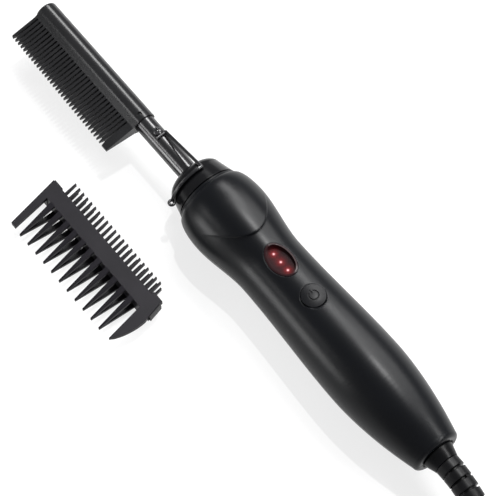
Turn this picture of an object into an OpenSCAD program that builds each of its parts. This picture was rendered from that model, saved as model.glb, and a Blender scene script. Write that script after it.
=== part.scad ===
// Electric hot comb with a folding wire stand, a lit window, a push button, a swivelling
// cord outlet and a clip-on comb cover that lies beside it.
// The long axis runs along Y: the comb points to +Y, its teeth to -X, the button faces +Z.
// The origin is on the table, under the widest place of the handle.

/* [Comb head] */
// Length of the heated comb
comb_len = 81.5; // [70:0.5:95]
// Outside diameter of the comb's round spine
spine_d = 12; // [11.6:0.1:14]
// Distance from the spine's axis to the tooth tips
tooth_reach = 23.6; // [20:0.1:28]
// How much nearer to the spine the tooth tips are at the comb's end
reach_taper = 2.2; // [0:0.1:3]
// Length of the teeth
tooth_len = 16.4; // [12:0.1:17]
// Number of slots between teeth
slot_count = 33; // [20:1:34]
// Distance from one slot to the next
slot_pitch = 2.3; // [2:0.05:2.35]
// Width of one slot
slot_w = 0.8; // [0.4:0.05:0.9]
// Length of the pointed end of a tooth
tooth_point = 3; // [1.5:0.1:4]
// Thickness of the comb's blade at the spine
blade_t = 8; // [6:0.1:8.4]
// Thickness of the teeth at their tips
tip_t = 1.2; // [0.8:0.1:2]
// Turn of the blade's tips towards the table
blade_tilt = 4; // [0:0.5:6]
// Distance from the comb's end to its first slot
tip_margin = 3.1; // [2.5:0.1:3.5]
// Diameter of the small locating hole near the handle end of the spine
dimple_d = 2.4; // [1:0.1:2.6]

/* [Heater] */
// Diameter of the ceramic heating rod
rod_d = 6.5; // [5:0.1:6.6]
// Wall of the insulating sleeve round the rod
sleeve_wall = 0.75; // [0.5:0.05:0.8]

/* [Neck] */
// Outside diameter of the neck tube
neck_d = 10.3; // [9.8:0.1:10.6]
// Wall of the neck tube
neck_wall = 1; // [0.8:0.05:1.1]
// Visible length of neck between comb and nose
neck_show = 34.9; // [30:0.1:45]
// Length of neck tube inside the comb
neck_socket = 11.5; // [8:0.5:14]
// Distance from the comb to the neck screw
screw_from_comb = 10.3; // [8:0.1:12]
// Head diameter of the neck screw
screw_head_d = 4.3; // [4:0.1:4.4]

/* [Wire stand] */
// Diameter of the stand's wire
wire_d = 1.7; // [1.4:0.1:1.8]
// Distance of the wire from the nose when folded
stand_gap = 0.45; // [0.4:0.05:0.6]
// Radius of the eye at the end of the foot
eye_r = 1.3; // [1.2:0.1:2.4]

/* [Nose] */
// Diameter of the nose's dome
dome_d = 29; // [27:0.2:31]
// Depth of the dome along the axis
dome_depth = 6.5; // [5:0.1:8]
// Diameter of the nose where it meets the handle
nose_d = 33.4; // [32:0.2:34]
// Length of the nose's cone
cone_len = 8.8; // [7:0.1:11]
// Seam between nose and handle
nose_seam = 0.7; // [0.4:0.1:1]

/* [Handle] */
// Diameter of the handle at its front edge
front_d = 34; // [34:0.2:36]
// Distance from the widest place to the front edge
front_len = 16; // [14:0.5:20]
// Diameter at the widest place
belly_d = 42; // [40:0.2:45]
// Diameter at the waist
waist_d = 34.8; // [34:0.2:37]
// Distance from the widest place back to the waist
waist_back = 32; // [28:0.5:38]
// Diameter of the rear swelling
bulge_d = 39.8; // [37:0.2:41]
// Distance from the widest place back to the rear swelling
bulge_back = 102; // [95:1:110]
// Diameter at the tail, before its rounding
tail_d = 24.6; // [24:0.2:27]
// Distance from the widest place back to the tail's end
tail_back = 153; // [148:0.5:160]
// Radius of the tail's rounded edge
tail_round = 2.4; // [1.5:0.1:3]
// Wall of the handle shells
wall = 2.4; // [2:0.1:2.8]
// Height of the handle's axis above the table
axis_z = 20.2; // [20.1:0.1:20.8]
// Height of the step where the hood ends above the thumb rest
hood_step = 1.3; // [0.8:0.1:2]
// Distance from the widest place back to the hood's end
hood_back = 20.6; // [16:0.2:24]

/* [Window and button] */
// Width of the oval window
window_w = 12.6; // [10:0.2:14]
// Length of the oval window
window_l = 19.5; // [16:0.5:22]
// Distance from the widest place back to the window's centre
window_back = 38.4; // [37:0.2:42]
// Depth of the window's pane below the rim
window_deep = 2.7; // [1.5:0.1:3]
// Distance between the three lamps
lamp_pitch = 5.3; // [4.5:0.1:5.5]
// Diameter of the button's cap
button_d = 11.9; // [10:0.1:13]
// Distance from the widest place back to the button's centre
button_back = 62.4; // [61:0.2:68]
// Travel of the button
button_travel = 0.6; // [0.3:0.1:0.8]

/* [Circuit board] */
// Width of the board
board_w = 20; // [18:0.5:22]
// Length of the board
board_l = 70; // [60:1:76]
// Thickness of the board
board_t = 1.6; // [1:0.1:2]
// Height of the board's top above the axis
board_up = 9.6; // [9.2:0.1:9.8]

/* [Cord outlet] */
// Diameter of the swivel's shaft in the tail
swivel_d = 16; // [14:0.2:17]
// Length of the swivel's cone outside the tail
swivel_cone = 6; // [4:0.5:9]
// Diameter of the first rib of the bend relief
rib_d = 12.4; // [11:0.2:13]
// Diameter of the last rib of the bend relief
rib_end_d = 11; // [10:0.2:11.4]
// Number of ribs on the bend relief
rib_count = 8; // [5:1:9]
// Distance from one rib to the next
rib_pitch = 5.5; // [4.5:0.1:5.6]
// Length of one rib
rib_len = 4.4; // [3:0.1:4.4]
// Bend of the relief from its root to its end
relief_bend = 30; // [20:1:34]
// Turn of that bend from straight down towards the teeth
relief_lean = 38; // [0:1:60]
// Diameter of the cord
cord_d = 5.8; // [5.4:0.1:6]

/* [Plug] */
// Width of the plug's body
plug_w = 35.3; // [30:0.1:36]
// Thickness of the plug's body
plug_t = 13.7; // [12:0.1:13.8]
// Length of the plug's body
plug_l = 34; // [28:0.5:40]
// Diameter of the plug's pins
pin_d = 4; // [3.9:0.1:4.8]
// Distance between the pins
pin_gap = 19; // [17:0.1:19.5]
// Length of the pins
pin_l = 19; // [17:0.1:20]

/* [Comb cover] */
// Length of the cover
cover_len = 86; // [80:0.5:92]
// Height of the cover
cover_h = 9.4; // [8.8:0.1:12]
// Thickness of each row of wide teeth
cover_plate = 1.6; // [1.2:0.1:1.8]
// Width of the cover's back
cover_back = 8.5; // [6:0.1:10]
// Length of the wide teeth
wide_len = 21.3; // [18:0.1:24]
// Distance from one wide tooth to the next
wide_pitch = 6.3; // [5.6:0.1:6.5]
// Number of wide teeth in a row
wide_count = 11; // [8:1:11]
// Length of the fine teeth
fine_len = 7.3; // [5:0.1:9]
// Distance from one fine tooth to the next
fine_pitch = 3.2; // [2.8:0.05:3.4]
// Number of fine teeth
fine_count = 22; // [16:1:22]
// Distance from the tool's axis to the cover's back
cover_x = -50.4; // [-58:0.2:-48]
// Place of the cover's middle along the tool
cover_y = 30.8; // [20:0.2:50]

/* [Hidden] */
$fn = 72;
eps = 0.01;
// Gap between fixed round pieces, and running gap of a moving one
seat = 0.05;
running = 0.08;
// Half of the seam between the two handle shells
half_seam = 0.06;

// Radii
spine_r = spine_d / 2;
neck_r = neck_d / 2;
neck_in = neck_r - neck_wall;
belly_r = belly_d / 2;
waist_r = waist_d / 2;
bulge_r = bulge_d / 2;
tail_r = tail_d / 2;
front_r = front_d / 2;
nose_r = nose_d / 2;
dome_r = dome_d / 2;
wire_r = wire_d / 2;
cord_r = cord_d / 2;
swivel_r = swivel_d / 2;
rod_r = rod_d / 2;
sleeve_r = rod_r + seat + sleeve_wall;

// Stations along the axis, from the handle's front edge to the comb's tip
cone_y0 = front_len + nose_seam;
dome_y = cone_y0 + cone_len;
neck_exit = dome_y + dome_depth * sqrt(1 - pow(neck_r / dome_r, 2));
comb_y0 = neck_exit + neck_show;
tip_y = comb_y0 + comb_len;
first_slot = tip_y - tip_margin;
screw_y = comb_y0 - screw_from_comb;
socket_y = comb_y0 + neck_socket;
neck_y0 = cone_y0 - 6;
heater_end = tip_y - 6;
// The blade ends a little short of the spine's end
blade_back = 1.2;

// Stations of the tail
tail_wall = 5;
cavity_end = tail_back - tail_wall;
spigot_len = 6;
spigot_r = front_r - wall;

// Stand: its journal lies in a groove across the neck, under the head of the screw
screw_r = 1.2;
groove = 0.45;
journal_z = neck_r + wire_r - groove;
journal_y = screw_y - screw_r - wire_r - 0.25;
head_z = journal_z + wire_r + seat;
head_h = 1.5;
foot_y = dome_y - 1.7;
foot_r = dome_r + (nose_r - dome_r) * (dome_y - foot_y) / cone_len + wire_r + stand_gap;
foot_a0 = 6;
foot_a1 = -82;
leg_x = 3.3;
journal_x = -2.25;

// Window and button heights above the axis
window_up = handle_r(-window_back);
pane_up = window_up - window_deep;
pane_t = 0.9;
lens_wall = 0.8;
button_up = handle_r(-button_back);
button_r = button_d / 2;
button_proud = 0.5;
flange_t = 1;
flange_gap = 0.1;
stem_r = 2.2;
switch_w = 6;
switch_h = 3.5;
plunger_r = 1.7;
plunger_up = 1;
switch_top = board_up + switch_h;
board_y0 = -(window_back - window_l / 2) + 4;
board_under = board_up - board_t;

// Swivel and bend relief
flange_r = swivel_r + 2;
spindle_r = 4.4;
ring_r = spindle_r + 0.6;
ring_back = [132, 137.5];
ring_len = 3;
collar_y = -(tail_back + 0.3 + swivel_cone);
collar_end_r = rib_d / 2 + 0.2;
stub_r = 4.9;
stub_len = 4;
relief_core = 4.7;
relief_len = rib_count * rib_pitch;
relief_r = relief_len * 180 / (PI * relief_bend);

// Coil: layers one pitch apart, lifted by the tie that passes under it
tie_t = 0.9;
turn_pitch = cord_d + 0.5;
coil_in = 22.9;
coil_turns = 3.75;
coil_out = coil_in + coil_turns * turn_pitch;
coil_z = tie_t + 0.1 + cord_r;
lead_x = -13;
lead_end = -233;
coil_c = [lead_x - coil_out, lead_end - 6];
rings_per_turn = 24;
plug_z = plug_t / 2;
plug_x = lead_x - 2 * coil_out;
plug_y = -209;
plug_relief = 18;
// The pins are thinner by this radius inside the plug and their sleeves
stem_less = 0.85;
// Route of the cord from the bend relief to the coil, and from the coil to the plug
lay_points = [[-8.9, -206.6, 8.5], [-10.6, -212.2, 6.5], [-11.9, -218, 5], [-12.7, -224, 4.2],
    [lead_x, lead_end + 3, coil_z], [lead_x, lead_end, coil_z]];
plug_points = [[plug_x, lead_end, coil_z + turn_pitch], [plug_x, lead_end + 3, coil_z + turn_pitch],
    [plug_x, -225, 9.5], [plug_x, -220, 8.4], [plug_x, -215, 7.3], [plug_x, plug_y - 2, plug_z],
    [plug_x, plug_y, plug_z]];

// Comb cover
cover_y0 = cover_y - cover_len / 2;
cover_y1 = cover_y + cover_len / 2;
// The wide teeth sit off the cover's middle and slant, and so do the fine teeth
wide_shift = 1.2;
wide_slant = -1.8;
wide_root = 3.1;
fine_slant = 1.2;
// The lower rows are a little shorter than the upper ones, from the clip's end on
low_share = 0.985;
bar_h = 2.4;
end_slant = 13.8;
// Height of the bevel under the clip's end
end_h = 4.6;

// Smooth step from 0 to 1
function ease(t) = t * t * (3 - 2 * t);

// Outer radius of the handle at a station
function handle_r(y) =
    y > 0 ? front_r + (belly_r - front_r) * sqrt(max(0, 1 - pow(y / (front_len - 1), 2)))
    : y > -waist_back ? belly_r + (waist_r - belly_r) * ease(-y / waist_back)
    : y > -bulge_back ? waist_r + (bulge_r - waist_r)
        * ease((-y - waist_back) / (bulge_back - waist_back))
    : bulge_r + (tail_r - bulge_r)
        * pow((-y - bulge_back) / (tail_back - bulge_back), 1.8);

// Radius of the hood that covers the top of the belly
function hood_r(y) = belly_r - (belly_r - handle_r(-hood_back) - hood_step)
    * pow(-y / hood_back, 2);

// Outline points of the handle between two stations, set inwards by inset
function handle_points(y0, y1, steps, inset) =
    [for (i = [0:steps]) let (y = y0 + (y1 - y0) * i / steps) [handle_r(y) - inset, y]];

// Puts a shape that was made along Z onto the handle's axis, pointing to +Y
module on_axis(y = 0) {
    translate([0, y, axis_z]) rotate([-90, 0, 0]) children();
}

// A round bar along the axis between two stations
module axial(r, y0, y1) {
    on_axis(y0) cylinder(r = r, h = y1 - y0);
}

// A tube along the axis between two stations
module axial_tube(r, r_in, y0, y1) {
    difference() {
        axial(r, y0, y1);
        axial(r_in, y0 - eps, y1 + eps);
    }
}

// A vertical bar that stands at a height above the axis
module upright(r, x, y, z0, z1) {
    translate([x, y, axis_z + z0]) cylinder(r = r, h = z1 - z0);
}

// A straight round wire
module wire(a, b, r) {
    d = b - a;
    l = norm(d);
    translate(a) rotate([0, acos(d[2] / l), atan2(d[1], d[0])]) cylinder(r = r, h = l, $fn = 24);
}

function unit(v) = v / norm(v);

// Direction of a route at one of its points
function heading(p, i) = unit(p[min(i + 1, len(p) - 1)] - p[max(i - 1, 0)]);

// One ring of a tube: its sides lie round the route, upright across level runs
function ring(p, d, r, sides) =
    let (side = unit(cross(d, [0, 0, 1])), up = cross(side, d))
    [for (k = [0:sides - 1]) let (a = 360 * (k + 0.5) / sides)
        p + r * (cos(a) * side + sin(a) * up)];

// A closed tube swept along a route
module tube(p, r, sides) {
    n = len(p);
    rings = [for (i = [0:n - 1]) each ring(p[i], heading(p, i), r, sides)];
    faces = [for (i = [0:n - 2], k = [0:sides - 1], half = [0, 1])
        let (a = i * sides + k, b = i * sides + (k + 1) % sides)
        half == 0 ? [a, a + sides, b] : [b, a + sides, b + sides]];
    caps = [for (k = [1:sides - 2]) [0, k, k + 1]];
    ends = [for (k = [1:sides - 2]) [(n - 1) * sides, (n - 1) * sides + k + 1,
        (n - 1) * sides + k]];
    polyhedron(rings, concat(faces, caps, ends));
}

// Points of a smooth line from a to d that leaves along b - a and arrives along d - c
function sweep_line(a, b, c, d, steps) = [for (i = [0:steps]) let (t = i / steps, u = 1 - t)
    u * u * u * a + 3 * u * u * t * b + 3 * u * t * t * c + t * t * t * d];

// ---------------------------------------------------------------- comb and heater

// Side outline of the blade: it leaves the spine tangentially as far as a crease at the
// slots' ends, and runs on more thinly to the tooth tips
module blade_outline() {
    crease = tooth_reach - tooth_len - 0.4;
    crease_t = tip_t + (blade_t - tip_t) * (1 - crease / tooth_reach);
    half = [[0, 0.8 * spine_r], [-0.49 * spine_r, 0.85 * spine_r], [-crease, crease_t / 2],
        [-tooth_reach, tip_t / 2]];
    rotate(blade_tilt) polygon(concat(half, [for (i = [3:-1:0]) [half[i][0], -half[i][1]]]));
}

// What is left of the distance from the spine to the tooth tips at a station
function reach_share(y) = 1 - reach_taper / tooth_reach * (y - comb_y0) / comb_len;

// The blade seen from above: it narrows to its end, and its corner there is rounded
module blade_plan() {
    corner = 0.7;
    end_y = tip_y - blade_back;
    end_x = -tooth_reach * reach_share(end_y);
    polygon(concat([[0, comb_y0], [-tooth_reach, comb_y0]],
        [for (a = [180:-30:90]) [end_x + corner, end_y - corner] + corner * [cos(a), sin(a)]],
        [[0, end_y]]));
}

// One slot seen from above: it opens between the pointed tooth ends
module slot_outline(share) {
    root = (tooth_len - tooth_reach) * share;
    flare = (tooth_point - tooth_reach) * share;
    open = -tooth_reach * share - 0.1;
    polygon([[root, -slot_w / 2], [root, slot_w / 2], [flare, slot_w / 2],
        [open, slot_pitch / 2 - 0.15], [open, 0.15 - slot_pitch / 2], [flare, -slot_w / 2]]);
}

module comb_head() {
    edge = 1.3;
    color("#26282b") difference() {
        union() {
            on_axis(comb_y0) rotate_extrude() polygon(concat([[0, 0], [spine_r, 0]],
                [for (a = [0:15:90]) [spine_r - edge + edge * cos(a),
                    comb_len - edge + edge * sin(a)]], [[0, comb_len]]));
            intersection() {
                translate([0, tip_y, axis_z]) rotate([90, 0, 0])
                    linear_extrude(comb_len) blade_outline();
                translate([0, 0, axis_z - blade_t]) linear_extrude(2 * blade_t) blade_plan();
            }
        }
        for (i = [0:slot_count - 1]) let (y = first_slot - i * slot_pitch)
            translate([0, y, axis_z - blade_t]) linear_extrude(2 * blade_t)
            slot_outline(reach_share(y));
        axial(neck_r + seat, comb_y0 - eps, socket_y + seat);
        axial(sleeve_r + seat, socket_y, heater_end);
        upright(dimple_d / 2, -0.7, comb_y0 + 2.9, neck_r - 1, spine_r + 1);
    }
}

module heater_sleeve() {
    color("#d8cfb8") axial_tube(sleeve_r, rod_r + seat, socket_y + 1, heater_end - 2);
}

module heater_rod() {
    color("#e8e4da") axial(rod_r, socket_y + 1.5, heater_end - 2.5);
}

module temperature_probe() {
    probe_r = 1.2;
    lift = neck_in - probe_r - seat;
    color("#c9c4b4") translate([0, 0, -lift]) {
        axial(probe_r, comb_y0 + 5, comb_y0 + 10);
        translate([0, comb_y0 + 10, axis_z]) sphere(r = probe_r, $fn = 24);
    }
}

// ---------------------------------------------------------------- neck and stand

module neck_tube() {
    color("#26282b") difference() {
        axial_tube(neck_r, neck_in, neck_y0, socket_y);
        translate([-neck_d, journal_y, axis_z + journal_z]) rotate([0, 90, 0])
            cylinder(r = wire_r + running, h = 2 * neck_d);
        upright(screw_r + seat, 0, screw_y, 0, neck_r + 1);
    }
}

module neck_screw() {
    slot_l = 2.6;
    slot_t = 0.6;
    color("#3a3c3f") difference() {
        union() {
            upright(screw_r, 0, screw_y, neck_in - 2, head_z + eps);
            intersection() {
                upright(screw_head_d / 2, 0, screw_y, head_z, head_z + head_h);
                translate([0, screw_y, axis_z + head_z + head_h - 3.2]) sphere(r = 3.2);
            }
        }
        for (a = [0, 90]) translate([0, screw_y, axis_z + head_z + head_h]) rotate(a)
            cube([slot_l, slot_t, 1.4], center = true);
    }
}

module wire_stand() {
    journal = [leg_x, journal_y, axis_z + journal_z];
    foot_a = [foot_r * sin(foot_a0), foot_y, axis_z + foot_r * cos(foot_a0)];
    foot_b = [foot_r * sin(foot_a1), foot_y, axis_z + foot_r * cos(foot_a1)];
    bend_r = wire_r * 1.04;
    color("#8d9094") {
        wire([journal_x, journal[1], journal[2]], journal, wire_r);
        translate(journal) sphere(r = bend_r, $fn = 32);
        wire(journal, foot_a, wire_r);
        translate(foot_a) sphere(r = bend_r, $fn = 32);
        translate([0, foot_y, axis_z]) rotate([-90, 0, 0]) rotate([0, 0, -90 + foot_a0])
            mirror([0, 1, 0]) rotate_extrude(angle = foot_a0 - foot_a1)
            translate([foot_r, 0]) circle(r = wire_r, $fn = 24);
        translate(foot_b + eye_r * [-0.8, -0.6, 0]) rotate_extrude()
            translate([eye_r, 0]) circle(r = wire_r * 0.85, $fn = 24);
    }
}

// ---------------------------------------------------------------- nose

module nose_shroud() {
    bore = spigot_r - 2.2;
    a0 = asin((neck_r + seat) / dome_r);
    color("#2c2e31") on_axis() rotate_extrude() polygon(concat(
        [[bore, cone_y0 - spigot_len], [spigot_r - seat, cone_y0 - spigot_len],
            [spigot_r - seat, cone_y0], [nose_r, cone_y0]],
        [for (i = [0:12]) let (a = 90 - (90 - a0) * i / 12)
            [dome_r * sin(a), dome_y + dome_depth * cos(a)]],
        [[neck_r + seat, dome_y - 2], [bore, dome_y - 2]]));
}

module neck_clamp() {
    color("#6f6a60") difference() {
        axial_tube(spigot_r - 2.2 - seat, neck_r + seat, neck_y0 + 1, dome_y - 2 - seat);
        for (a = [0:60:300]) on_axis(neck_y0) rotate(a) translate([8.4, 0, -eps])
            cylinder(r = 1.9, h = cone_len);
    }
}

module heater_leads() {
    x0 = 1.6;
    x1 = 5;
    bow = 14;
    up = axis_z + 1.2;
    down = axis_z + board_up - board_t / 2;
    y1 = neck_y0 - 3;
    end = board_y0 + 0.5;
    color("#b8452e") for (side = [-1, 1]) tube(concat([[side * x0, socket_y + 0.7, up]],
        sweep_line([side * x0, y1, up], [side * x0, y1 - bow, up],
            [side * x1, end + bow, down], [side * x1, end, down], 8)), 0.7, 8);
}

module thermal_fuse() {
    fuse_r = 1.9;
    color("#c8c8c8") translate([0, 0, fuse_r + seat - neck_in])
        axial(fuse_r, neck_exit + 6, neck_exit + 15);
}

// ---------------------------------------------------------------- handle shells

// The whole handle as one solid, set inwards by inset
module handle_solid(inset = 0) {
    end_y = -(tail_back - tail_round);
    edge_r = handle_r(end_y) - tail_round;
    on_axis() rotate_extrude($fn = 96) polygon(concat([[0, front_len], [front_r - inset, front_len]],
        handle_points(front_len - 1, 0, 10, inset), handle_points(-2, end_y, 62, inset),
        [for (a = [15:15:90]) [edge_r - inset + tail_round * cos(a),
            end_y - tail_round * sin(a)]], [[0, -tail_back]]));
}

// The hollow inside both shells
module handle_cavity() {
    cavity_front = front_len - spigot_len;
    on_axis() rotate_extrude($fn = 96) polygon(concat([[0, cavity_front]],
        handle_points(cavity_front, 0, 5, wall), handle_points(-2, -cavity_end, 60, wall),
        [[0, -cavity_end]]));
    axial(spigot_r, front_len - spigot_len - eps, front_len + 1);
    axial(swivel_r + running, -tail_back - 1, -cavity_end + eps);
    dish_r = tail_r - tail_round - 0.8;
    on_axis(-tail_back - 1) cylinder(r = dish_r, h = 1.8);
}

// The raised hood over the belly: its edge is a parabola seen from above
module hood() {
    edge_x = belly_r - 1;
    curve = hood_back / pow(edge_x, 2);
    intersection() {
        on_axis() rotate_extrude($fn = 96) polygon(concat([[0, 0]],
            [for (i = [0:14]) let (y = -hood_back * i / 14) [hood_r(y), y]], [[0, -hood_back]]));
        translate([0, 0, axis_z + waist_r / 3]) linear_extrude(belly_r) polygon(
            [for (i = [-16:16]) let (x = edge_x * i / 16) [x, curve * x * x - hood_back]]);
    }
}

// Places of the four screws that join the shells
screw_x = 13;
screw_front = 4;
screw_rear = 6;
screw_places = [for (y = [-screw_front, -bulge_back - screw_rear], x = [-1, 1])
    [x * screw_x, y]];
boss_r = 2.7;
bore_r = 2.5;
bore_up = -7;

module handle_half(up) {
    intersection() {
        children();
        translate([-50, -200, axis_z + (up ? half_seam : -60)]) cube([100, 260, 60 - half_seam]);
    }
}

// An oval prism that stands on the window's place
module window_prism(grow, z0, z1) {
    w = window_w / 2 + grow;
    l = window_l / 2 + grow;
    translate([0, -window_back, axis_z + z0]) linear_extrude(z1 - z0)
        polygon([for (a = [0:9:351]) [w * cos(a), l * sin(a)]]);
}

module handle_top() {
    color("#2f3033") {
        difference() {
            handle_half(true) union() {
                handle_solid();
                hood();
            }
            handle_cavity();
            window_prism(seat, 0, belly_r);
            upright(button_r + 0.15, 0, -button_back, 0, belly_r);
            upright(button_r + 0.8, 0, -button_back, button_up - 0.45, belly_r);
        }
        difference() {
            intersection() {
                handle_solid(wall / 2);
                for (p = screw_places) upright(boss_r, p[0], p[1], half_seam, belly_r);
            }
            for (p = screw_places) upright(1.1, p[0], p[1], -1, 8);
        }
    }
}

module handle_bottom() {
    post_r = 2.4;
    color("#2f3033") {
        difference() {
            handle_half(false) handle_solid();
            handle_cavity();
            for (p = screw_places) upright(bore_r, p[0], p[1], -belly_r, bore_up);
            for (p = screw_places) upright(1.5, p[0], p[1], -belly_r, 1);
            translate([-50, -250, -50]) cube([100, 400, 50]);
        }
        difference() {
            intersection() {
                handle_solid(wall / 2);
                for (p = screw_places) upright(boss_r + 0.9, p[0], p[1], -belly_r, -half_seam);
            }
            for (p = screw_places) upright(bore_r, p[0], p[1], -belly_r, bore_up);
            for (p = screw_places) upright(1.5, p[0], p[1], -belly_r, 1);
        }
        difference() {
            intersection() {
                handle_solid(wall / 2);
                for (p = board_holes) upright(post_r, p[0], p[1], -belly_r, board_under);
            }
            for (p = board_holes) upright(0.9, p[0], p[1], board_under - 7, belly_r);
        }
    }
}

module handle_screws() {
    stud_l = 13;
    cap_h = 1.6;
    color("#8a8c8f") for (p = screw_places) difference() {
        union() {
            upright(1, p[0], p[1], bore_up - seat - eps, bore_up + stud_l);
            upright(bore_r - 0.3, p[0], p[1], bore_up - cap_h, bore_up - seat);
        }
        for (a = [0, 90]) translate([p[0], p[1], axis_z + bore_up - cap_h]) rotate(a)
            cube([2.6, 0.6, 1.2], center = true);
    }
}

// ---------------------------------------------------------------- window and button

module window_lens() {
    rim = 0.25;
    color("#7a1f1c") {
        intersection() {
            difference() {
                window_prism(0, pane_up, belly_r);
                window_prism(-lens_wall, pane_up - 1, belly_r + 1);
            }
            handle_solid(-rim);
        }
        window_prism(0, pane_up - pane_t, pane_up + eps);
        intersection() {
            window_prism(1.2, pane_up - pane_t, pane_up);
            handle_solid(wall + 0.1);
        }
    }
}

module indicator_lamps() {
    lamp_r = 1.5;
    top = pane_up - pane_t - 0.2;
    color("#ff5a4a") for (i = [-1:1]) translate([0, -window_back + i * lamp_pitch, axis_z]) {
        translate([0, 0, board_up]) cylinder(r = lamp_r, h = top - lamp_r - board_up, $fn = 32);
        translate([0, 0, top - lamp_r]) sphere(r = lamp_r, $fn = 32);
    }
}

module button_cap() {
    top = button_up + button_proud;
    dome = 26;
    low = button_up - wall - flange_gap - flange_t;
    color("#35363a") difference() {
        union() {
            intersection() {
                upright(button_r, 0, -button_back, low + eps, top);
                translate([0, -button_back, axis_z + top - dome]) sphere(r = dome);
            }
            intersection() {
                upright(button_r + 1.2, 0, -button_back, low, low + flange_t);
                handle_solid(wall + flange_gap);
            }
            upright(stem_r, 0, -button_back, switch_top + plunger_up + seat, low + flange_t);
        }
        translate([0, -button_back, axis_z + top - 0.45]) rotate(120) rotate_extrude(angle = 300)
            translate([2.1, 0]) square([0.6, 2]);
        translate([-0.3, -button_back + 1.1, axis_z + top - 0.45]) cube([0.6, 2.2, 2]);
    }
}

module tact_switch() {
    color("#4b4d50") difference() {
        translate([-switch_w / 2, -button_back - switch_w / 2, axis_z + board_up])
            cube([switch_w, switch_w, switch_h]);
        upright(plunger_r + running, 0, -button_back, board_up + 1, switch_top + 1);
    }
}

module switch_plunger() {
    color("#d8d2c4") upright(plunger_r, 0, -button_back, board_up + 1 + button_travel + 0.3,
        switch_top + plunger_up);
}

// ---------------------------------------------------------------- electronics

board_holes = [for (y = [board_y0 - 3.5, board_y0 - board_l + 3.5], x = [-1, 1])
    [x * (board_w / 2 - 3), y]];

module circuit_board() {
    color("#1f5a3a") difference() {
        translate([-board_w / 2, board_y0 - board_l, axis_z + board_under])
            cube([board_w, board_l, board_t]);
        for (p = board_holes) upright(1.1, p[0], p[1], board_under - 1, board_up + 1);
    }
}

module board_screws() {
    screw_l = 5;
    cap_r = 1.8;
    cap_h = 1.3;
    color("#b5b7ba") for (p = board_holes) {
        upright(0.8, p[0], p[1], board_under - screw_l, board_up);
        upright(cap_r, p[0], p[1], board_up, board_up + cap_h);
    }
}

module power_triac() {
    color("#1d1d1f") translate([-5, board_y0 - board_l + 12, axis_z + board_under - 4.5])
        cube([10, 15, 4.5]);
}

module film_capacitor() {
    color("#a8802c") translate([-6.5, board_y0 - board_l / 2 + 4, axis_z + board_under - 9])
        cube([13, 7.5, 9]);
}

module mains_leads() {
    start = board_y0 - board_l - 0.5;
    end = -ring_back[0] + block_front + 0.5;
    x0 = 5;
    x1 = 8.4;
    bow = 12;
    up = axis_z + board_up - board_t / 2;
    down = axis_z + 3;
    color("#4a6fa8") for (side = [-1, 1]) tube(sweep_line([side * x0, start, up],
        [side * x0, start - bow, up], [side * x1, end + bow, down], [side * x1, end, down], 8),
        0.8, 8);
}

// ---------------------------------------------------------------- swivel outlet

block_rear = 1.5;
block_front = 4;
brush_w = 2;

module contact_block() {
    y0 = -ring_back[1] - block_rear;
    y1 = -ring_back[0] + block_front;
    block_r = handle_r(y0) - wall - 0.2;
    color("#5a564e") difference() {
        axial(block_r, y0, y1);
        axial(ring_r + 1.2, y0 - 1, y1 + 1);
        for (y = ring_back) translate([0, -y, axis_z])
            cube([2 * block_r + 2, brush_w + 0.2, brush_w + 0.2], center = true);
    }
}

module brush_contacts() {
    reach = 5.5;
    color("#b08a3c") for (y = ring_back, side = [-1, 1])
        translate([side * (ring_r + 0.1 + reach / 2), -y, axis_z])
            cube([reach, brush_w, brush_w], center = true);
}

module slip_rings() {
    color("#c98b4a") for (y = ring_back)
        axial_tube(ring_r, spindle_r + 0.02, -y - ring_len / 2, -y + ring_len / 2);
}

module swivel_collar() {
    spindle_y1 = -ring_back[0] + 3;
    flange_y = -cavity_end + 0.3;
    color("#2a2b2e") difference() {
        union() {
            axial(spindle_r, flange_y, spindle_y1);
            axial(flange_r, flange_y, flange_y + 2.5);
            axial(swivel_r, -tail_back - 0.3 - eps, flange_y + eps);
            on_axis(collar_y) cylinder(r1 = collar_end_r, r2 = swivel_r + 0.3, h = swivel_cone);
        }
        axial(stub_r + 0.3, collar_y - 1, collar_y + stub_len + 0.5);
        axial(cord_r + 0.3, collar_y - 1, spindle_y1 - 2);
    }
}

// The plane of the drooping bend relief: its root on the axis, its droop along -Z
module relief_plane() {
    translate([0, collar_y - 0.3, axis_z]) rotate([0, relief_lean, 0]) children();
}

// Places a piece at an arc length along the drooping bend relief
module on_relief(run) {
    bend = run / relief_len * relief_bend;
    relief_plane() translate([0, -relief_r * sin(bend), -relief_r * (1 - cos(bend))])
        rotate([90 + bend, 0, 0]) children();
}

// A round bar that follows the relief's arc
module relief_bar(r, bend) {
    relief_plane() translate([0, 0, -relief_r]) rotate([0, -90, 0])
        rotate(-bend) rotate_extrude(angle = bend, $fn = 72)
        translate([relief_r, 0]) circle(r = r, $fn = 32);
}

module bend_relief() {
    gap = rib_pitch - rib_len;
    color("#232427") difference() {
        union() {
            axial(stub_r, collar_y - 0.3 - eps, collar_y + stub_len);
            relief_bar(relief_core, relief_bend);
            for (i = [0:rib_count - 1]) {
                rib_r = (rib_d + (rib_end_d - rib_d) * i / (rib_count - 1)) / 2;
                on_relief(i * rib_pitch) cylinder(r = rib_r, h = rib_len, $fn = 40);
                if (i < rib_count - 1) on_relief(i * rib_pitch + rib_len - 0.2)
                    for (a = [0, 180]) rotate(a + 90 * (i % 2))
                        translate([relief_core - 0.6, -1.6, 0])
                        cube([rib_r - relief_core + 0.1, 3.2, gap + 0.4]);
            }
        }
        relief_bar(cord_r + 0.15, relief_bend + 1);
        axial(cord_r + 0.2, collar_y - 0.3 - eps, collar_y + stub_len + 1);
    }
}

// ---------------------------------------------------------------- cord

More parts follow.
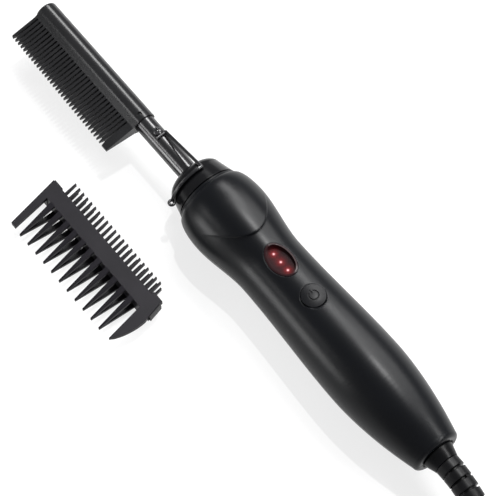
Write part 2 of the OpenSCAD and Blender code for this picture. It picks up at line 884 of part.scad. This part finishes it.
// The stretch inside the bend relief follows the relief's own arc
relief_points = [for (i = [0:6]) let (bend = relief_bend * i / 6,
    droop = relief_r * (1 - cos(bend)))
    [-droop * sin(relief_lean), collar_y - 0.3 - relief_r * sin(bend),
        axis_z - droop * cos(relief_lean)]];

module power_cord() {
    color("#1c1c1e") tube(concat([[0, collar_y + 3, axis_z]], relief_points, lay_points),
        cord_r, 8);
}

// Winding of the coil: inwards on the table, then outwards one layer up
function coil_radius(t) = coil_in + turn_pitch * abs(coil_turns - t);
function coil_height(t) = coil_z + turn_pitch
    * ease(min(1, max(0, (t - coil_turns + 0.25) / 0.5)));
function coil_point(t) = [coil_c[0] + coil_radius(t) * cos(360 * t),
    coil_c[1] - coil_radius(t) * sin(360 * t), coil_height(t)];
coil_rings = round(2 * coil_turns * rings_per_turn);
coil_points = concat([[lead_x, lead_end, coil_z]],
    [for (i = [0:coil_rings]) coil_point(i / rings_per_turn)],
    [[plug_x, lead_end, coil_z + turn_pitch]]);

// Least distance between parts of the coil that are more than half a turn apart
coil_gap = min([for (i = [0:2:coil_rings], j = [i + 14:coil_rings])
    norm(coil_point(i / rings_per_turn) - coil_point(j / rings_per_turn))]) - cord_d;
echo(least_gap_of_the_coil_to_itself = coil_gap);

module cord_coil() {
    color("#1c1c1e") tube(coil_points, cord_r, 6);
}

module plug_lead() {
    color("#1c1c1e") tube(plug_points, cord_r, 8);
}

module cord_tie() {
    width = 9;
    inner = coil_in - 0.2;
    outer = coil_out - 0.1 + 1.6;
    height = cord_d + turn_pitch + 0.3;
    color("#18181a") difference() {
        translate([coil_c[0] - width / 2, coil_c[1] - outer - tie_t, 0])
            cube([width, outer - inner + 2 * tie_t, height + 2 * tie_t]);
        translate([coil_c[0] - width, coil_c[1] - outer, tie_t])
            cube([2 * width, outer - inner, height]);
    }
}

// ---------------------------------------------------------------- plug

module plug_body() {
    shoulder = 12;
    neck_w = 14;
    y0 = plug_y + plug_relief;
    sleeve_len = pin_l - 9;
    stem_r = pin_d / 2 - stem_less;
    color("#1f1f21") {
        difference() {
            intersection() {
                translate([plug_x, y0, 0]) linear_extrude(plug_t) polygon([[-neck_w / 2, 0],
                    [neck_w / 2, 0], [plug_w / 2, shoulder], [plug_w / 2, plug_l],
                    [-plug_w / 2, plug_l], [-plug_w / 2, shoulder]]);
                translate([plug_x - plug_w, y0, plug_z]) rotate([90, 0, 90])
                    linear_extrude(2 * plug_w) polygon([[0, -plug_t / 2 + 2], [0, plug_t / 2 - 2],
                        [shoulder, plug_t / 2], [plug_l - 1, plug_t / 2],
                        [plug_l, plug_t / 2 - 1], [plug_l, 1 - plug_t / 2],
                        [plug_l - 1, -plug_t / 2], [shoulder, -plug_t / 2]]);
            }
            for (side = [-1, 1]) translate([plug_x + side * pin_gap / 2, y0 + plug_l - 8, plug_z])
                rotate([-90, 0, 0]) cylinder(r = stem_r + seat, h = 9);
        }
        translate([plug_x, plug_y, plug_z]) rotate([-90, 0, 0]) {
            cylinder(r1 = cord_r + 0.9, r2 = cord_r + 2.4, h = plug_relief + 1);
            for (i = [0:3]) translate([0, 0, 3 + i * 4]) cylinder(r = cord_r + 1.9 + i * 0.35,
                h = 1.8);
        }
        for (side = [-1, 1]) translate([plug_x + side * pin_gap / 2, y0 + plug_l - 1, plug_z])
            rotate([-90, 0, 0]) difference() {
                cylinder(r = pin_d / 2 - 0.3, h = sleeve_len + 1);
                translate([0, 0, -1]) cylinder(r = stem_r + seat, h = sleeve_len + 3);
            }
    }
}

module plug_pins() {
    y0 = plug_y + plug_relief + plug_l;
    stem_r = pin_d / 2 - stem_less;
    sleeve_len = pin_l - 9;
    tip = 1;
    color("#c9cbcf") for (side = [-1, 1]) translate([plug_x + side * pin_gap / 2, y0, plug_z])
        rotate([-90, 0, 0]) {
            translate([0, 0, -7]) cylinder(r = stem_r, h = sleeve_len + 7.5);
            translate([0, 0, sleeve_len + 0.1]) cylinder(r = pin_d / 2, h = 9 - tip - 0.1);
            translate([0, 0, pin_l - tip - eps]) cylinder(r1 = pin_d / 2, r2 = pin_d / 2 - tip,
                h = tip);
        }
}

// ---------------------------------------------------------------- comb cover

// The cover's back with its two end bars, seen from above: the bar at the comb's tip is
// straight with a blunt end, the one at the handle is a horn with a curved outer edge
module cover_outline() {
    reach = cover_back + wide_len;
    translate([cover_x, 0]) polygon(concat(
        [[0, cover_y1], [-reach, cover_y1 - 5.9], [-reach, cover_y1 - 9],
            [-cover_back, cover_y1 - 5.8], [-cover_back, cover_y0 + 6.3]],
        [for (i = [0:9]) let (t = i / 9) [-reach + (reach - cover_back) * t,
            cover_y0 + 2.4 - 2.8 * t - 2.1 * pow(sin(180 * t), 0.6)]],
        [[0, cover_y0 - 0.4 + cover_back * tan(end_slant)]]));
}

// How far a place on the lower plate lies from the same place on the upper one
function low_shift(side, y) = side > 0 ? 0 : (low_share - 1) * (y - cover_y0);

// One wide tooth seen from above, its root at the origin and its tip off to one side
module wide_tooth(off) {
    polygon([[0.5, -wide_root / 2], [0.5, wide_root / 2], [-wide_len, off + 0.4],
        [-wide_len, off - 0.4]]);
}

// The upper or lower row of wide teeth: both lean to the cover's middle height, where the
// tips meet
module wide_row(side) {
    lean = asin((cover_h - cover_plate) / 2 / wide_len);
    for (i = [0:wide_count - 1]) {
        y = cover_y + wide_shift + (i - (wide_count - 1) / 2) * wide_pitch;
        low = low_shift(side, y);
        translate([cover_x - cover_back, y + low, (cover_h + side * (cover_h - cover_plate)) / 2])
            rotate([0, -side * lean, 0]) translate([0, 0, -cover_plate / 2])
            linear_extrude(cover_plate) wide_tooth(wide_slant - low);
    }
}

// The upper or lower row of fine teeth
module fine_row(side) {
    fine_t = 1.1;
    fine_h = 2.2;
    for (i = [0:fine_count - 1]) {
        y = cover_y + (i - (fine_count - 1) / 2) * fine_pitch;
        translate([cover_x - 0.5, y + low_shift(side, y), side > 0 ? cover_h - 0.4 - fine_h : 0.4])
            linear_extrude(fine_h) polygon([[0, -fine_t / 2], [fine_len + 0.5, fine_slant - 0.4],
                [fine_len + 0.5, fine_slant + 0.4], [0, fine_t / 2]]);
    }
}

module comb_cover() {
    reach = cover_back + wide_len;
    lug = 6.4;
    color("#35343a") {
        difference() {
            linear_extrude(cover_h) cover_outline();
            translate([cover_x - reach - 1, cover_y0 - 5, -eps])
                cube([reach - cover_back + 0.7, cover_len + 10, cover_h - bar_h + eps]);
            translate([cover_x - reach - 1, cover_y0, 0]) rotate([90, 0, 90])
                linear_extrude(reach + 4) polygon([[-4, -eps], [-4, end_h], [1, end_h],
                    [1 + end_h, -eps]]);
        }
        for (side = [-1, 1]) {
            wide_row(side);
            fine_row(side);
        }
        translate([cover_x - eps, cover_y0 + 1.8, cover_h - 3]) cube([1.6, lug, 3 - eps]);
        translate([cover_x - eps, cover_y1 - lug, cover_h - 3]) cube([0.6, lug - 0.6, 3 - eps]);
    }
}

module cover_clip() {
    grip = 0.6;
    play = 0.4;
    low = end_h + 0.4;
    high = cover_h - 0.8;
    long = cover_back / cos(end_slant);
    color("#161618") translate([cover_x - cover_back, cover_y0 - 0.4, 0]) rotate(end_slant)
        difference() {
            translate([0.4, -grip - play - 0.05, low]) cube([long - 0.6, grip + play, high - low]);
            translate([-1, -play - 0.05, low + 1]) cube([long + 2, play + 0.1, high - low - 2]);
        }
}

comb_head();
heater_rod();
heater_sleeve();
temperature_probe();
neck_tube();
neck_screw();
nose_shroud();
neck_clamp();
heater_leads();
thermal_fuse();
handle_top();
handle_bottom();
handle_screws();
window_lens();
indicator_lamps();
circuit_board();
board_screws();
tact_switch();
power_triac();
film_capacitor();
mains_leads();
contact_block();
brush_contacts();
button_cap();
switch_plunger();
wire_stand();
swivel_collar();
slip_rings();
bend_relief();
power_cord();
cord_coil();
plug_lead();
cord_tie();
plug_body();
plug_pins();
comb_cover();
cover_clip();
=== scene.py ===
"""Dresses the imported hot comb: camera, cord, materials, floor, world and lamps."""
import math

import bpy
from mathutils import Matrix, Vector


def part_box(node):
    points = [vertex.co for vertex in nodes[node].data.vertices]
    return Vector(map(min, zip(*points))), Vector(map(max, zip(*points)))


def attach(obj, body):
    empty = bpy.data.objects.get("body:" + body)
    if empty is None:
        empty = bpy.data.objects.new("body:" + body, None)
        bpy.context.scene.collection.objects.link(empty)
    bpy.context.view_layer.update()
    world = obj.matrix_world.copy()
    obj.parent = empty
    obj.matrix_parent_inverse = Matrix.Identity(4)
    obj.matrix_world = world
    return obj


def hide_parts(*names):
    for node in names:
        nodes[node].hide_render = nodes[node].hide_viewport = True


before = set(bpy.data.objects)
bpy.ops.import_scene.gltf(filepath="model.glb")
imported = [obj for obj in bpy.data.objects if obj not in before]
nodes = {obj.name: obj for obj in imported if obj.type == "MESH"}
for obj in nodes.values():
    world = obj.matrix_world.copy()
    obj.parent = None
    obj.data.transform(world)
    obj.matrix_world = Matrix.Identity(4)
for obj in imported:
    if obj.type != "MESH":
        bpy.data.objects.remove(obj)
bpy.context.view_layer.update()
scene = bpy.context.scene
scene.view_settings.view_transform = "Standard"
MM = 0.001


def link(obj):
    scene.collection.objects.link(obj)
    return obj


def stand_at(place, *axes):
    """The matrix of an object at place whose own X, Y and Z lie along the three axes."""
    return Matrix.Translation(place) @ Matrix(axes).transposed().to_4x4()


# ------------------------------------------------------------------ camera
# The point in the middle of the picture, the way from there to the camera, and roughly the
# way to the picture's right edge. The camera was fitted to the photo.
AIM = Vector((-4.1, -16.2, 19.7)) * MM
TO_CAMERA = Vector((-0.2826, -0.3420, 0.8962)).normalized()
PICTURE_RIGHT = Vector((0.7824, -0.6226, 0.0091))
DISTANCE = 1.187
FOCAL_PIXELS = 2500
PICTURE_WIDTH = 488
SENSOR_WIDTH = 36

right = (PICTURE_RIGHT - TO_CAMERA * PICTURE_RIGHT.dot(TO_CAMERA)).normalized()
up = TO_CAMERA.cross(right)
camera_data = bpy.data.cameras.new("camera")
camera_data.sensor_fit = "HORIZONTAL"
camera_data.sensor_width = SENSOR_WIDTH
camera_data.lens = SENSOR_WIDTH * FOCAL_PIXELS / PICTURE_WIDTH
camera_data.clip_start = 0.02
camera_data.clip_end = 20
camera = link(bpy.data.objects.new("camera", camera_data))
camera.matrix_world = stand_at(AIM + TO_CAMERA * DISTANCE, right, up, TO_CAMERA)
scene.camera = camera

# ------------------------------------------------------------------ cord
# The route repeats the one in the part's source: out of the bend relief, down to the
# table, round the coil in two layers and on to the plug. Millimetres, angles in radians.
AXIS_Z = 20.2
RELIEF_ROOT = -159.6
RELIEF_LENGTH = 44
RELIEF_BEND = math.radians(30)
RELIEF_LEAN = math.radians(38)
RELIEF_RADIUS = RELIEF_LENGTH / RELIEF_BEND
RELIEF_STEPS = 6
# The drawn cord begins at this step, hidden inside the relief
FIRST_STEP = 3
CORD_D = 5.8
CORD_R = CORD_D / 2
TURN_PITCH = CORD_D + 0.5
COIL_IN = 22.9
COIL_TURNS = 3.75
COIL_OUT = COIL_IN + COIL_TURNS * TURN_PITCH
# Points of the route on each turn
COIL_STEPS = 40
# Share of a turn in which the cord climbs from the lower layer to the upper one
CLIMB = 0.5
# Room for the tie that passes under the coil
TIE_ROOM = 1
COIL_Z = TIE_ROOM + CORD_R
LEAD_X, LEAD_END = -13, -233
COIL_X, COIL_Y = LEAD_X - COIL_OUT, LEAD_END - 6
PLUG_X, PLUG_Y, PLUG_Z = LEAD_X - 2 * COIL_OUT, -209, 6.85
# How far the cord reaches into the plug
INTO_PLUG = 3


def ease(t):
    """A smooth step from 0 to 1."""
    t = min(1, max(0, t))
    return t * t * (3 - 2 * t)


def relief_point(bend):
    """The place on the bend relief's arc where it has turned by bend."""
    droop = RELIEF_RADIUS * (1 - math.cos(bend))
    return (
        -droop * math.sin(RELIEF_LEAN),
        RELIEF_ROOT - RELIEF_RADIUS * math.sin(bend),
        AXIS_Z - droop * math.cos(RELIEF_LEAN),
    )


def coil_point(t):
    """The place after t turns: inwards on the table, then outwards one layer up."""
    radius = COIL_IN + TURN_PITCH * abs(COIL_TURNS - t)
    angle = 2 * math.pi * t
    return (
        COIL_X + radius * math.cos(angle),
        COIL_Y - radius * math.sin(angle),
        COIL_Z + TURN_PITCH * ease((t - COIL_TURNS + CLIMB / 2) / CLIMB),
    )


lay = [(-8.9, -206.6, 8.5), (-10.6, -212.2, 6.5), (-11.9, -218, 5), (-12.7, -224, 4.2),
       (LEAD_X, LEAD_END + 3, COIL_Z), (LEAD_X, LEAD_END, COIL_Z)]
to_plug = [(PLUG_X, LEAD_END, COIL_Z + TURN_PITCH), (PLUG_X, LEAD_END + 3, COIL_Z + TURN_PITCH),
           (PLUG_X, -225, 9.5), (PLUG_X, -220, 8.4), (PLUG_X, -215, 7.3),
           (PLUG_X, PLUG_Y - 2, PLUG_Z), (PLUG_X, PLUG_Y + INTO_PLUG, PLUG_Z)]
route = [relief_point(RELIEF_BEND * i / RELIEF_STEPS)
         for i in range(FIRST_STEP, RELIEF_STEPS + 1)]
route += lay
route += [coil_point(i / COIL_STEPS) for i in range(int(2 * COIL_TURNS * COIL_STEPS) + 1)]
route += to_plug


def round_line(name, points, radius, sides=20):
    """A round line swept through points in millimetres, with closed ends."""
    points = [Vector(p) * MM for p in points]
    last = len(points) - 1
    corners, faces = [], []
    for i, point in enumerate(points):
        ahead = (points[min(i + 1, last)] - points[max(i - 1, 0)]).normalized()
        side = ahead.cross(Vector((0, 0, 1))).normalized()
        top = side.cross(ahead)
        for k in range(sides):
            angle = 2 * math.pi * (k + 0.5) / sides
            corners.append(point + radius * MM * (math.cos(angle) * side + math.sin(angle) * top))
    for i in range(last):
        for k in range(sides):
            a, b = i * sides + k, i * sides + (k + 1) % sides
            faces.append((a, a + sides, b + sides, b))
    faces.append(tuple(range(sides)))
    faces.append(tuple(last * sides + k for k in reversed(range(sides))))
    mesh = bpy.data.meshes.new(name)
    mesh.from_pydata(corners, [], faces)
    mesh.shade_smooth()
    return link(bpy.data.objects.new(name, mesh))


cord = round_line("cord_line", route, CORD_R)
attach(cord, "tool")
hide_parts("power_cord", "cord_coil", "plug_lead")

# ------------------------------------------------------------------ materials
# Where the clouds' noise turns from the dark colour to the light one
CLOUD_ENDS = (0.3, 0.7)
LEAST_ROUGHNESS = 0.02
# Height of the grain, in metres
GRAIN_HEIGHT = 0.0002
# Painted shade in gaps: openness at which a gap has lost its sheen, and at which a surface has
# all of it
GAP_SHADE_OPENNESS = (0.35, 0.9)
# Specular level left in the deepest gaps, where the sheen is painted down as shade
SHADED_GAP_SHEEN = 0.02


def shader(name):
    material = bpy.data.materials.new(name)
    material.use_nodes = True
    tree = material.node_tree
    return material, tree, tree.nodes["Principled BSDF"]


def add_node(tree, kind, **values):
    """Adds a node; values set its inputs where it has one of that name, else its settings."""
    made = tree.nodes.new(kind)
    for key, value in values.items():
        if key in made.inputs:
            made.inputs[key].default_value = value
        else:
            setattr(made, key, value)
    return made


def maths(tree, operation, *values):
    """The output of a math node; each value is a number or another node's output."""
    made = add_node(tree, "ShaderNodeMath", operation=operation)
    for socket, value in zip(made.inputs, values):
        if isinstance(value, bpy.types.NodeSocket):
            tree.links.new(value, socket)
        else:
            socket.default_value = value
    return made.outputs["Value"]


def rescale(tree, value, low, high, span=(0, 1)):
    """The output of a node that turns span into low to high."""
    made = add_node(tree, "ShaderNodeMapRange")
    for key, number in zip(("From Min", "From Max", "To Min", "To Max"), (*span, low, high)):
        made.inputs[key].default_value = number
    tree.links.new(value, made.inputs["Value"])
    return made.outputs["Result"]


def shades(tree, value, dark, light, ends=(0, 1)):
    """The output of a colour ramp from dark to light between the two ends."""
    ramp = add_node(tree, "ShaderNodeValToRGB")
    for element, place, colour in zip(ramp.color_ramp.elements, ends, (dark, light)):
        element.position = place
        element.color = (*colour, 1)
    tree.links.new(value, ramp.inputs["Fac"])
    return ramp.outputs["Color"]


def surface(name, dark, light, rough, spread=0.06, metal=0.0, spec=0.5, grain=900, bump=0.05,
            cloud=60, stretch=(1, 1, 1), round_edge=0.0, gap_shade_width=0.0):
    """A moulded or cast surface: clouded colour, uneven gloss and a fine grain.

    grain and cloud are the fineness of the two noises, per metre. round_edge is the radius in
    millimetres at which sharp edges catch the light. The gap width, the last argument, is how
    wide in millimetres the gaps are that get painted shade: a darker colour and less sheen.
    """
    material, tree, bsdf = shader(name)
    place = add_node(tree, "ShaderNodeTexCoord")
    mapping = add_node(tree, "ShaderNodeMapping", Scale=stretch)
    tree.links.new(place.outputs["Object"], mapping.inputs["Vector"])
    clouds = add_node(tree, "ShaderNodeTexNoise", Scale=cloud, Detail=4.0)
    fine = add_node(tree, "ShaderNodeTexNoise", Scale=grain, Detail=3.0)
    for noise in (clouds, fine):
        tree.links.new(mapping.outputs["Vector"], noise.inputs["Vector"])
    colour = shades(tree, clouds.outputs["Fac"], dark, light, CLOUD_ENDS)
    tree.links.new(colour, bsdf.inputs["Base Color"])
    gloss = rescale(tree, fine.outputs["Fac"], max(LEAST_ROUGHNESS, rough - spread),
                    rough + spread)
    tree.links.new(gloss, bsdf.inputs["Roughness"])
    lift = add_node(tree, "ShaderNodeBump", Strength=bump, Distance=GRAIN_HEIGHT)
    tree.links.new(fine.outputs["Fac"], lift.inputs["Height"])
    tree.links.new(lift.outputs["Normal"], bsdf.inputs["Normal"])
    if round_edge:
        soft = add_node(tree, "ShaderNodeBevel", samples=6, Radius=round_edge * MM)
        tree.links.new(soft.outputs["Normal"], lift.inputs["Normal"])
    # Painted shade: where ambient occlusion finds a gap, the colour is darkened and the sheen
    # lowered
    if gap_shade_width:
        gap_shade = add_node(tree, "ShaderNodeAmbientOcclusion", samples=8, Distance=gap_shade_width * MM)
        sheen = rescale(tree, gap_shade.outputs["AO"], SHADED_GAP_SHEEN, spec, GAP_SHADE_OPENNESS)
        tree.links.new(sheen, bsdf.inputs["Specular IOR Level"])
        tree.links.new(colour, gap_shade.inputs["Color"])
        tree.links.new(gap_shade.outputs["Color"], bsdf.inputs["Base Color"])
    bsdf.inputs["Metallic"].default_value = metal
    bsdf.inputs["Specular IOR Level"].default_value = spec
    return material


def dress(material, *names):
    """Gives the material to CAD nodes, by name, or to objects."""
    for name in names:
        target = nodes[name] if isinstance(name, str) else name
        target.data.materials.clear()
        target.data.materials.append(material)


# Outside
# Materials given a gap width have painted shade in their gaps: a darker colour and less sheen
dress(surface("handle_satin", (0.002, 0.0023, 0.0031), (0.0029, 0.0033, 0.0043), 0.31, spec=0.15,
              grain=2600, bump=0.03, cloud=30, round_edge=1.2), "handle_top", "handle_bottom")
dress(surface("nose_satin", (0.003, 0.003, 0.0036), (0.0045, 0.0045, 0.005), 0.2, spec=0.16,
              grain=2200, bump=0.03, cloud=40, round_edge=0.4, gap_shade_width=1.5), "nose_shroud")
dress(surface("comb_coating", (0.007, 0.007, 0.0076), (0.0095, 0.0095, 0.0102), 0.22, spec=0.3,
              grain=1800, bump=0.04, cloud=120, round_edge=0.15, gap_shade_width=0.9), "comb_head")
dress(surface("neck_gloss", (0.004, 0.004, 0.0045), (0.007, 0.007, 0.008), 0.2, spec=0.6,
              grain=900, bump=0.02, cloud=90, stretch=(1, 0.05, 1)), "neck_tube")
dress(surface("stand_black_wire", (0.004, 0.004, 0.005), (0.007, 0.007, 0.008), 0.2, spec=0.5,
              grain=1500, bump=0.03, cloud=200), "wire_stand")
dress(surface("screw_dark_steel", (0.01, 0.01, 0.011), (0.02, 0.02, 0.022), 0.12, spec=0.7,
              grain=2500, bump=0.05, cloud=700, round_edge=0.2, gap_shade_width=0.8), "neck_screw")
dress(surface("screw_steel", (0.42, 0.43, 0.45), (0.56, 0.57, 0.6), 0.3, metal=1.0, grain=2500,
              bump=0.06, cloud=500), "handle_screws", "board_screws", "thermal_fuse")
dress(surface("button_satin", (0.0022, 0.0024, 0.0032), (0.0036, 0.0038, 0.0048), 0.34, spec=0.12,
              grain=2600, bump=0.04, cloud=90, round_edge=0.25, gap_shade_width=0.9), "button_cap")
dress(surface("collar_satin", (0.002, 0.002, 0.0024), (0.0035, 0.0035, 0.004), 0.3, spec=0.12,
              grain=2000, bump=0.03, cloud=80, round_edge=0.5), "swivel_collar")
dress(surface("cord_rubber", (0.0022, 0.0022, 0.0026), (0.004, 0.004, 0.0045), 0.36, spec=0.14,
              grain=2400, bump=0.06, cloud=90, round_edge=0.5, gap_shade_width=1.0),
      "bend_relief", "plug_body", cord)
dress(surface("tie_rubber", (0.012, 0.012, 0.013), (0.02, 0.02, 0.021), 0.6, spec=0.3,
              grain=1600, bump=0.12, cloud=160), "cord_tie")
dress(surface("pin_plated", (0.6, 0.61, 0.63), (0.72, 0.73, 0.75), 0.16, metal=1.0, grain=2600,
              bump=0.02, cloud=300), "plug_pins")
dress(surface("cover_resin", (0.008, 0.0074, 0.0092), (0.0115, 0.0105, 0.013), 0.36, spec=0.08,
              grain=2000, bump=0.06, cloud=50, round_edge=0.25, gap_shade_width=3.0), "comb_cover")
# The clip stands for the dark strip along the cover's end, which is partly that end face in
# shade: its black is partly painted shade
dress(surface("clip_black", (0.004, 0.004, 0.004), (0.006, 0.006, 0.006), 0.5, spec=0.3,
              grain=2000, bump=0.05, cloud=120), "cover_clip")

# Inside
dress(surface("ceramic", (0.72, 0.69, 0.6), (0.82, 0.79, 0.72), 0.6, grain=1500, bump=0.1,
              cloud=80), "heater_rod", "heater_sleeve", "temperature_probe")
dress(surface("inner_resin", (0.24, 0.22, 0.19), (0.32, 0.3, 0.26), 0.6, grain=1200, bump=0.1,
              cloud=120), "neck_clamp", "contact_block")
dress(surface("lead_red", (0.5, 0.08, 0.05), (0.65, 0.13, 0.09), 0.4, grain=1800, bump=0.05,
              cloud=150), "heater_leads")
dress(surface("lead_blue", (0.07, 0.14, 0.38), (0.11, 0.2, 0.5), 0.4, grain=1800, bump=0.05,
              cloud=150), "mains_leads")
dress(surface("board_green", (0.03, 0.16, 0.08), (0.05, 0.24, 0.13), 0.35, grain=600, bump=0.08,
              cloud=300), "circuit_board")
dress(surface("switch_grey", (0.1, 0.1, 0.11), (0.16, 0.16, 0.17), 0.35, grain=1800, bump=0.05,
              cloud=300), "tact_switch")
dress(surface("plunger_white", (0.7, 0.68, 0.62), (0.82, 0.8, 0.74), 0.45, grain=1800,
              bump=0.05, cloud=300), "switch_plunger")
dress(surface("chip_black", (0.01, 0.01, 0.01), (0.02, 0.02, 0.02), 0.6, grain=1800, bump=0.1,
              cloud=300), "power_triac")
dress(surface("capacitor_yellow", (0.5, 0.32, 0.06), (0.66, 0.46, 0.1), 0.3, grain=1800,
              bump=0.04, cloud=200), "film_capacitor")
dress(surface("contact_brass", (0.62, 0.42, 0.16), (0.76, 0.56, 0.26), 0.25, metal=1.0,
              grain=1800, bump=0.04, cloud=300), "brush_contacts", "slip_rings")
dress(surface("lamp_red", (0.7, 0.1, 0.1), (0.9, 0.2, 0.18), 0.2, grain=1800, bump=0.02,
              cloud=300), "indicator_lamps")

# What is left of a glow at its radius
GLOW_EDGE = 0.135
GLOW_RED = (0.55, 0.014, 0.018, 1)
GLOW_PALE = (1, 0.66, 0.68, 1)
WIDE_STRENGTH = 0.5
NARROW_STRENGTH = 1.3
# The red glow sparkles in facets: their fineness per metre, their contrast and least light
FACETS = 1500.0
FACET_CONTRAST = 0.8
FACET_LEAST = 0.3


def pane_material(name, centres, halo, core):
    """A smoky pane with light painted on it round the lamps behind it: wide red glows with pale
    hearts that the pane itself gives off.

    centres are the glows' places in metres; halo and core are the radii of the two glows.
    """
    material, tree, bsdf = shader(name)
    place = add_node(tree, "ShaderNodeTexCoord")

    def glow(radius):
        total = None
        for centre in centres:
            away = add_node(tree, "ShaderNodeVectorMath", operation="DISTANCE")
            tree.links.new(place.outputs["Object"], away.inputs[0])
            away.inputs[1].default_value = centre
            share = maths(tree, "DIVIDE", away.outputs["Value"], radius)
            spot = maths(tree, "POWER", GLOW_EDGE, maths(tree, "POWER", share, 2))
            total = spot if total is None else maths(tree, "ADD", total, spot)
        return total

    wide, narrow = glow(halo), glow(core)
    tint = add_node(tree, "ShaderNodeMix", data_type="RGBA")
    tint.inputs["A"].default_value = GLOW_RED
    tint.inputs["B"].default_value = GLOW_PALE
    tree.links.new(maths(tree, "MINIMUM", narrow, 1.0), tint.inputs["Factor"])
    facets = add_node(tree, "ShaderNodeTexVoronoi", Scale=FACETS)
    tree.links.new(place.outputs["Object"], facets.inputs["Vector"])
    sparkle = maths(tree, "MULTIPLY", facets.outputs["Distance"], FACET_CONTRAST)
    sparkle = maths(tree, "ADD", sparkle, FACET_LEAST)
    red = maths(tree, "MULTIPLY", maths(tree, "MULTIPLY", wide, WIDE_STRENGTH), sparkle)
    pale = maths(tree, "MULTIPLY", narrow, NARROW_STRENGTH)
    tree.links.new(tint.outputs["Result"], bsdf.inputs["Emission Color"])
    tree.links.new(maths(tree, "ADD", red, pale), bsdf.inputs["Emission Strength"])
    haze = add_node(tree, "ShaderNodeTexNoise", Scale=260.0, Detail=3.0)
    tree.links.new(place.outputs["Object"], haze.inputs["Vector"])
    smoke = shades(tree, haze.outputs["Fac"], (0.012, 0.005, 0.006), (0.022, 0.009, 0.01))
    tree.links.new(smoke, bsdf.inputs["Base Color"])
    bsdf.inputs["Roughness"].default_value = 0.14
    bsdf.inputs["Specular IOR Level"].default_value = 0.1
    return material


# Millimetres
WINDOW_Y = -38.4
LAMP_PITCH = 5.3
GLOW_UP = 1.0
lamp_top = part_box("indicator_lamps")[1][2]
glows = [(0.0, (WINDOW_Y + i * LAMP_PITCH) * MM, lamp_top + GLOW_UP * MM) for i in (-1, 0, 1)]
dress(pane_material("window_smoke_and_glow", glows, halo=2.9 * MM, core=0.85 * MM), "window_lens")

# ------------------------------------------------------------------ floor, world and lamps
# Half the floor's width, in metres, and how far it lies below the part, in millimetres
FLOOR = 4.0
FLOOR_DOWN = 0.05
# The white that the floor shows: its brightness, and its share against the plain paper
WHITE = 1.04
WHITE_SHARE = 0.72
WORLD_COLOUR = (0.97, 0.985, 1, 1)
WORLD_STRENGTH = 0.38

floor_mesh = bpy.data.meshes.new("floor")
floor_mesh.from_pydata(
    [(x * FLOOR, y * FLOOR, 0) for x, y in ((-1, -1), (1, -1), (1, 1), (-1, 1))],
    [], [(0, 1, 2, 3)])
floor = link(bpy.data.objects.new("floor", floor_mesh))
floor.location.z = -FLOOR_DOWN * MM


def paper_material():
    """Plain paper; towards the camera and in reflections most of it is an even white."""
    material = surface("floor_paper", (0.84, 0.84, 0.84), (0.86, 0.86, 0.86), 0.9, spec=0.0,
                       grain=300, bump=0.0, cloud=3)
    tree = material.node_tree
    path = add_node(tree, "ShaderNodeLightPath")
    white = add_node(tree, "ShaderNodeEmission", Color=(1, 1, 1, 1), Strength=WHITE)
    seen = path.outputs["Is Camera Ray"]
    for ray in ("Is Glossy Ray", "Is Transmission Ray"):
        seen = maths(tree, "MAXIMUM", seen, path.outputs[ray])
    share = maths(tree, "MULTIPLY", seen, WHITE_SHARE)
    mix = add_node(tree, "ShaderNodeMixShader")
    tree.links.new(share, mix.inputs["Fac"])
    tree.links.new(tree.nodes["Principled BSDF"].outputs["BSDF"], mix.inputs[1])
    tree.links.new(white.outputs["Emission"], mix.inputs[2])
    tree.links.new(mix.outputs["Shader"], tree.nodes["Material Output"].inputs["Surface"])
    return material


dress(paper_material(), floor)

world = bpy.data.worlds.new("world")
scene.world = world
world.use_nodes = True
sky = world.node_tree.nodes["Background"]
sky.inputs["Color"].default_value = WORLD_COLOUR
sky.inputs["Strength"].default_value = WORLD_STRENGTH


def area_lamp(name, towards, target, distance, size, strength):
    """A soft box that faces target, seen from there in the direction towards.

    size is its width across and its length along the tool, strength its brightness.
    """
    data = bpy.data.lights.new(name, "AREA")
    data.shape = "RECTANGLE"
    data.size, data.size_y = size
    data.energy = strength * size[0] * size[1] * math.pi
    face = Vector(towards).normalized()
    side = Vector((0, 1, 0)).cross(face).normalized()
    lamp = link(bpy.data.objects.new(name, data))
    lamp.matrix_world = stand_at(Vector(target) + face * distance, side, face.cross(side), face)


def sun_lamp(name, towards, strength, spread):
    """A sun in the direction towards; spread is how wide it looks, in degrees."""
    data = bpy.data.lights.new(name, "SUN")
    data.energy = strength
    data.angle = math.radians(spread)
    lamp = link(bpy.data.objects.new(name, data))
    lamp.rotation_euler = Vector(towards).to_track_quat("Z", "Y").to_euler()


sun_lamp("key_sun", (0.36, 0.18, 1.0), 1.6, 1.0)
area_lamp("box_right", (0.64, 0.2, 0.72), (0, -0.09, 0.02), 0.62, (0.44, 0.36), 6.5)
area_lamp("box_front", (0.53, 0.342, 0.775), (0, 0.13, 0.03), 0.62, (0.18, 0.34), 16.0)
area_lamp("strip_left", (-0.93, 0.342, 0.13), (0, -0.015, 0.02), 0.6, (0.19, 0.2), 12.0)
area_lamp("strip_neck", (-0.765, 0.342, 0.545), (0, 0.06, 0.02), 0.6, (0.08, 0.2), 9.0)
area_lamp("kicker", (0.49, -0.6, 0.6), (0, -0.03, 0.02), 0.6, (0.12, 0.42), 16.0)
